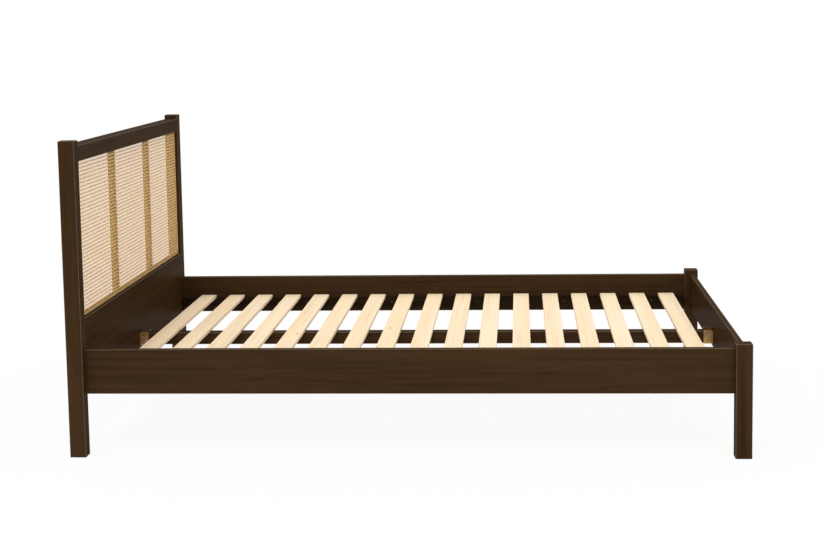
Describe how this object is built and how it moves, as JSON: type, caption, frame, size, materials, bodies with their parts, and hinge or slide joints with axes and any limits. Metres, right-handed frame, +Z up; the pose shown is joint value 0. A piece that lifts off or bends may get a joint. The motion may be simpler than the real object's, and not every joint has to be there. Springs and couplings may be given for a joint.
{
  "type": "bed frame",
  "caption": "Walnut-stained bed frame with a woven cane headboard, recessed side rails, low footboard, square posts and pale slats on ledgers and a centre beam.",
  "frame": {"origin": "centre of the footprint on the floor, under the middle of the bed", "axes": "+X runs from the headboard to the foot of the bed, +Y to the right as seen from the foot looking at the headboard, +Z up"},
  "size_m": [2.1, 1.51, 0.987],
  "materials": {
    "walnut_wood": "dark walnut stain, satin lacquer",
    "slat_wood": "planed pale softwood, unfinished",
    "cane": "woven natural cane",
    "cane_spline": "natural reed",
    "dowel_wood": "beech dowel",
    "bracket_steel": "yellow passivated zinc plate",
    "fastener_steel": "bright zinc plate"
  },
  "bodies": {
    "root": {"barrel_nuts": "fastener_steel", "batten_screws": "fastener_steel", "beam_bracket_foot": "bracket_steel", "beam_bracket_head": "bracket_steel", "bolt_washers": "fastener_steel", "bracket_screws": "fastener_steel", "cane_bottom_batten": "walnut_wood", "cane_mullion_left": "walnut_wood", "cane_mullion_right": "walnut_wood", "cane_panel": "cane", "cane_spline_left": "cane_spline", "cane_spline_right": "cane_spline", "cane_spline_top": "cane_spline", "centre_beam": "walnut_wood", "foot_post_left": "walnut_wood", "foot_post_right": "walnut_wood", "footboard": "walnut_wood", "footboard_dowels": "dowel_wood", "head_lower_board": "walnut_wood", "head_post_left": "walnut_wood", "head_post_right": "walnut_wood", "head_top_rail": "walnut_wood", "headboard_dowels": "dowel_wood", "ledger_screws": "fastener_steel", "mullion_dowels": "dowel_wood", "rail_bolts": "fastener_steel", "side_rail_left": "walnut_wood", "side_rail_right": "walnut_wood", "slat_01": "slat_wood", "slat_02": "slat_wood", "slat_03": "slat_wood", "slat_04": "slat_wood", "slat_05": "slat_wood", "slat_06": "slat_wood", "slat_07": "slat_wood", "slat_08": "slat_wood", "slat_09": "slat_wood", "slat_10": "slat_wood", "slat_11": "slat_wood", "slat_12": "slat_wood", "slat_13": "slat_wood", "slat_14": "slat_wood", "slat_15": "slat_wood", "slat_16": "slat_wood", "slat_17": "slat_wood", "slat_ledger_left": "walnut_wood", "slat_ledger_right": "walnut_wood", "slat_pins": "dowel_wood"}
  },
  "joints": []
}
